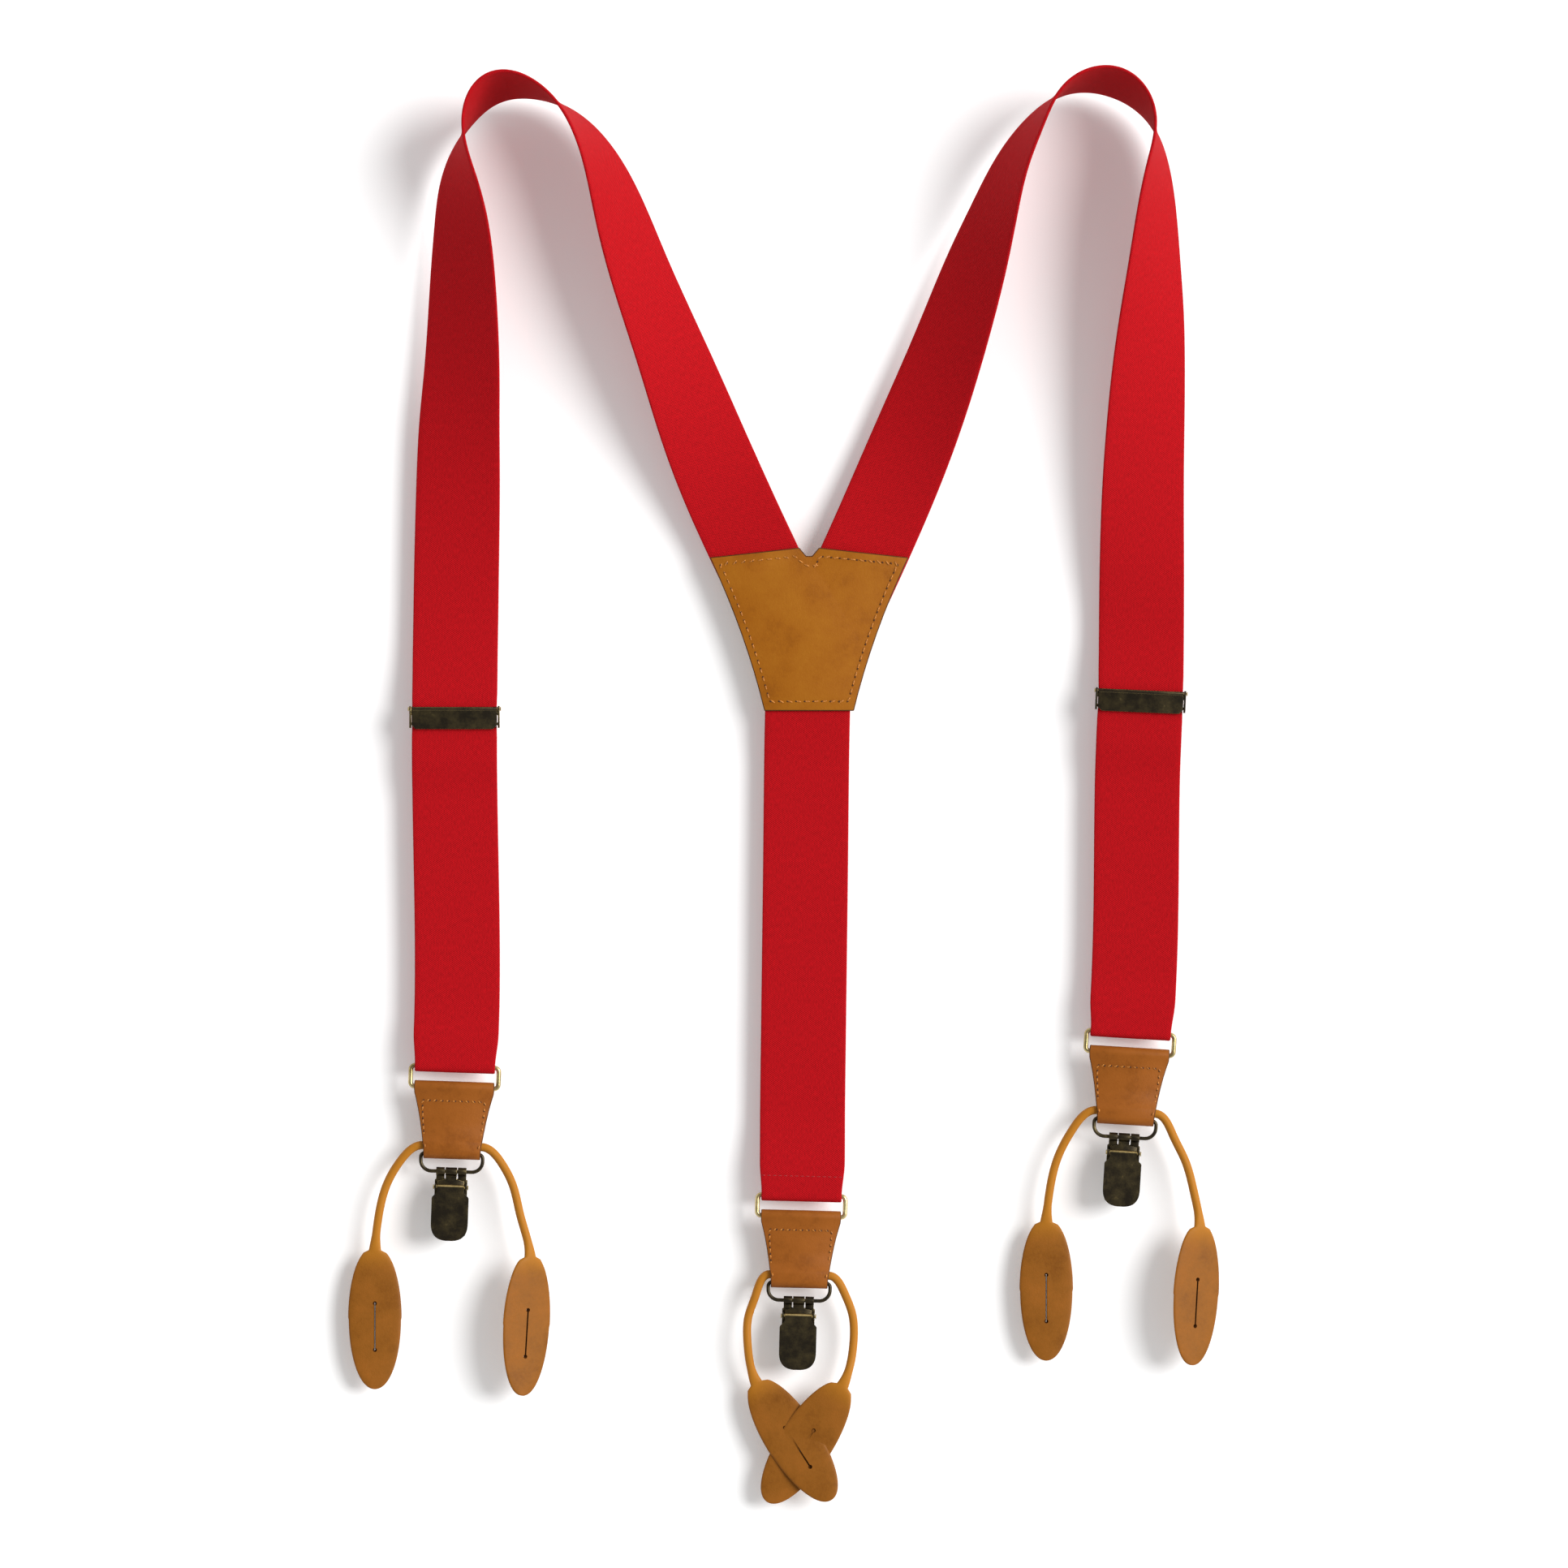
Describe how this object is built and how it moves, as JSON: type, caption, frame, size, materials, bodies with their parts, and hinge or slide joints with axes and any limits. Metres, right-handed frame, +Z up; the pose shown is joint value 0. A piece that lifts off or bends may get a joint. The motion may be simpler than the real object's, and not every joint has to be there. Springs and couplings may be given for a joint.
{
  "type": "suspenders",
  "caption": "Y-back elastic suspenders with a leather back patch, slide adjusters, and on each end a ring, a leather tab, a buttoned leather thong and a fold-over clip.",
  "frame": {"origin": "centre of the back patch's underside", "axes": "+X to the right as it lies with the patch's outer face up, +Y from the patch towards the shoulder loops, +Z up from the table"},
  "size_m": [0.3577, 0.5888, 0.0351],
  "materials": {
    "webbing": "woven elastic, matt",
    "patch_leather": "smooth grain leather, satin",
    "tab_leather": "smooth grain leather, satin",
    "thong_leather": "rolled and pressed leather, satin",
    "ring_brass": "antiqued, worn bright",
    "antique_brass": "dark antique plating, bright worn edges",
    "nylon": "moulded"
  },
  "bodies": {
    "root": {"left_strap": "webbing", "right_strap": "webbing", "back_strap": "webbing", "patch_front": "patch_leather", "patch_back": "patch_leather"},
    "left_adjuster": {"left_adjuster_frame": "antique_brass", "left_adjuster_pin": "antique_brass"},
    "left_adjuster_cover": {"left_adjuster_lever": "antique_brass"},
    "left_loop": {"left_strap_loop": "webbing"},
    "right_adjuster": {"right_adjuster_frame": "antique_brass", "right_adjuster_pin": "antique_brass"},
    "right_adjuster_cover": {"right_adjuster_lever": "antique_brass"},
    "right_loop": {"right_strap_loop": "webbing"},
    "left_ring": {"left_ring": "ring_brass"},
    "left_tab": {"left_tab": "tab_leather"},
    "left_thong": {"left_thong": "thong_leather"},
    "left_bail": {"left_bail": "antique_brass"},
    "left_clip": {"left_clip_back": "antique_brass", "left_clip_pin": "antique_brass"},
    "left_jaw": {"left_clip_jaw": "antique_brass", "left_grip_pad": "nylon"},
    "left_clip_cover": {"left_clip_lever": "antique_brass"},
    "right_ring": {"right_ring": "ring_brass"},
    "right_tab": {"right_tab": "tab_leather"},
    "right_thong": {"right_thong": "thong_leather"},
    "right_bail": {"right_bail": "antique_brass"},
    "right_clip": {"right_clip_back": "antique_brass", "right_clip_pin": "antique_brass"},
    "right_jaw": {"right_clip_jaw": "antique_brass", "right_grip_pad": "nylon"},
    "right_clip_cover": {"right_clip_lever": "antique_brass"},
    "back_ring": {"back_ring": "ring_brass"},
    "back_tab": {"back_tab": "tab_leather"},
    "back_thong": {"back_thong": "thong_leather"},
    "back_bail": {"back_bail": "antique_brass"},
    "back_clip": {"back_clip_back": "antique_brass", "back_clip_pin": "antique_brass"},
    "back_jaw": {"back_clip_jaw": "antique_brass", "back_grip_pad": "nylon"},
    "back_clip_cover": {"back_clip_lever": "antique_brass"}
  },
  "joints": [
    {"name": "left_adjuster_slide", "type": "slide", "parent": "root", "child": "left_adjuster", "axis": [0, 1, 0], "range_m": [-0.1, 0.08], "deforming": ["left_strap", "left_strap_loop"]},
    {"name": "left_loop_slide", "type": "slide", "parent": "left_adjuster", "child": "left_loop", "axis": [0, 1, 0], "range_m": [-0.041, 0.051]},
    {"name": "left_adjuster_cover_hinge", "type": "hinge", "parent": "left_adjuster", "child": "left_adjuster_cover", "pos_m": [-0.1455, -0.0312, 0.0066], "axis": [-1, 0, 0], "range_deg": [0, 100]},
    {"name": "right_adjuster_slide", "type": "slide", "parent": "root", "child": "right_adjuster", "axis": [0.0294, 0.9996, 0], "range_m": [-0.1, 0.08], "deforming": ["right_strap", "right_strap_loop"]},
    {"name": "right_loop_slide", "type": "slide", "parent": "right_adjuster", "child": "right_loop", "axis": [0.0294, 0.9996, 0], "range_m": [-0.041, 0.051]},
    {"name": "right_adjuster_cover_hinge", "type": "hinge", "parent": "right_adjuster", "child": "right_adjuster_cover", "pos_m": [0.13615, -0.0243, 0.0066], "axis": [-0.999, 0.0436, 0], "range_deg": [0, 100]},
    {"name": "left_ring_hinge", "type": "hinge", "parent": "left_loop", "child": "left_ring", "pos_m": [-0.14535, -0.178, 0.0026], "axis": [0.9994, -0.0349, 0], "range_deg": [-75, 75]},
    {"name": "left_tab_hinge", "type": "hinge", "parent": "left_ring", "child": "left_tab", "pos_m": [-0.14565, -0.1866, 0.0026], "axis": [-0.9994, 0.0349, 0], "range_deg": [-75, 75]},
    {"name": "left_thong_swing", "type": "hinge", "parent": "left_tab", "child": "left_thong", "pos_m": [-0.14649, -0.21068, 0.00335], "axis": [-0.9994, 0.0349, 0], "range_deg": [-30, 120]},
    {"name": "left_bail_hinge", "type": "hinge", "parent": "left_tab", "child": "left_bail", "pos_m": [-0.1466, -0.21368, 0.00335], "axis": [0.9994, -0.0349, 0], "range_deg": [-70, 70]},
    {"name": "left_clip_hinge", "type": "hinge", "parent": "left_bail", "child": "left_clip", "pos_m": [-0.14685, -0.22107, 0.00335], "axis": [-0.9994, 0.0349, 0], "range_deg": [-80, 80]},
    {"name": "left_clip_lever_hinge", "type": "hinge", "parent": "left_clip", "child": "left_clip_cover", "pos_m": [-0.14708, -0.22747, 0.00525], "axis": [-0.9994, 0.0349, 0], "range_deg": [0, 100]},
    {"name": "left_jaw_hinge", "type": "hinge", "parent": "left_clip", "child": "left_jaw", "pos_m": [-0.14685, -0.22107, 0.00335], "axis": [-0.9994, 0.0349, 0], "range_deg": [0, 5]},
    {"name": "right_ring_hinge", "type": "hinge", "parent": "right_loop", "child": "right_ring", "pos_m": [0.132, -0.164, 0.0026], "axis": [0.9981, -0.061, 0], "range_deg": [-75, 75]},
    {"name": "right_tab_hinge", "type": "hinge", "parent": "right_ring", "child": "right_tab", "pos_m": [0.13148, -0.17258, 0.0026], "axis": [-0.9981, 0.061, 0], "range_deg": [-75, 75]},
    {"name": "right_thong_swing", "type": "hinge", "parent": "right_tab", "child": "right_thong", "pos_m": [0.13, -0.19664, 0.00335], "axis": [-0.9981, 0.061, 0], "range_deg": [-30, 120]},
    {"name": "right_bail_hinge", "type": "hinge", "parent": "right_tab", "child": "right_bail", "pos_m": [0.12982, -0.19963, 0.00335], "axis": [0.9981, -0.061, 0], "range_deg": [-70, 70]},
    {"name": "right_clip_hinge", "type": "hinge", "parent": "right_bail", "child": "right_clip", "pos_m": [0.12937, -0.20702, 0.00335], "axis": [-0.9981, 0.061, 0], "range_deg": [-80, 80]},
    {"name": "right_clip_lever_hinge", "type": "hinge", "parent": "right_clip", "child": "right_clip_cover", "pos_m": [0.12898, -0.21341, 0.00525], "axis": [-0.9981, 0.061, 0], "range_deg": [0, 100]},
    {"name": "right_jaw_hinge", "type": "hinge", "parent": "right_clip", "child": "right_jaw", "pos_m": [0.12937, -0.20702, 0.00335], "axis": [-0.9981, 0.061, 0], "range_deg": [0, 5]},
    {"name": "back_ring_hinge", "type": "hinge", "parent": "root", "child": "back_ring", "pos_m": [-0.0031, -0.2309, 0.0026], "axis": [0.9997, -0.0262, 0], "range_deg": [-75, 75]},
    {"name": "back_tab_hinge", "type": "hinge", "parent": "back_ring", "child": "back_tab", "pos_m": [-0.00332, -0.2395, 0.0026], "axis": [-0.9997, 0.0262, 0], "range_deg": [-75, 75]},
    {"name": "back_thong_swing", "type": "hinge", "parent": "back_tab", "child": "back_thong", "pos_m": [-0.00396, -0.26359, 0.00335], "axis": [-0.9997, 0.0262, 0], "range_deg": [-30, 120]},
    {"name": "back_bail_hinge", "type": "hinge", "parent": "back_tab", "child": "back_bail", "pos_m": [-0.00404, -0.26659, 0.00335], "axis": [0.9997, -0.0262, 0], "range_deg": [-70, 70]},
    {"name": "back_clip_hinge", "type": "hinge", "parent": "back_bail", "child": "back_clip", "pos_m": [-0.00423, -0.27398, 0.00335], "axis": [-0.9997, 0.0262, 0], "range_deg": [-80, 80]},
    {"name": "back_clip_lever_hinge", "type": "hinge", "parent": "back_clip", "child": "back_clip_cover", "pos_m": [-0.0044, -0.28038, 0.00525], "axis": [-0.9997, 0.0262, 0], "range_deg": [0, 100]},
    {"name": "back_jaw_hinge", "type": "hinge", "parent": "back_clip", "child": "back_jaw", "pos_m": [-0.00423, -0.27398, 0.00335], "axis": [-0.9997, 0.0262, 0], "range_deg": [0, 5]}
  ],
  "couplings": [
    {"joint": "left_loop_slide", "follows": "left_adjuster_slide", "ratio": -0.5},
    {"joint": "right_loop_slide", "follows": "right_adjuster_slide", "ratio": -0.5},
    {"joint": "left_jaw_hinge", "follows": "left_clip_lever_hinge", "ratio": 0.05},
    {"joint": "right_jaw_hinge", "follows": "right_clip_lever_hinge", "ratio": 0.05},
    {"joint": "back_jaw_hinge", "follows": "back_clip_lever_hinge", "ratio": 0.05}
  ]
}
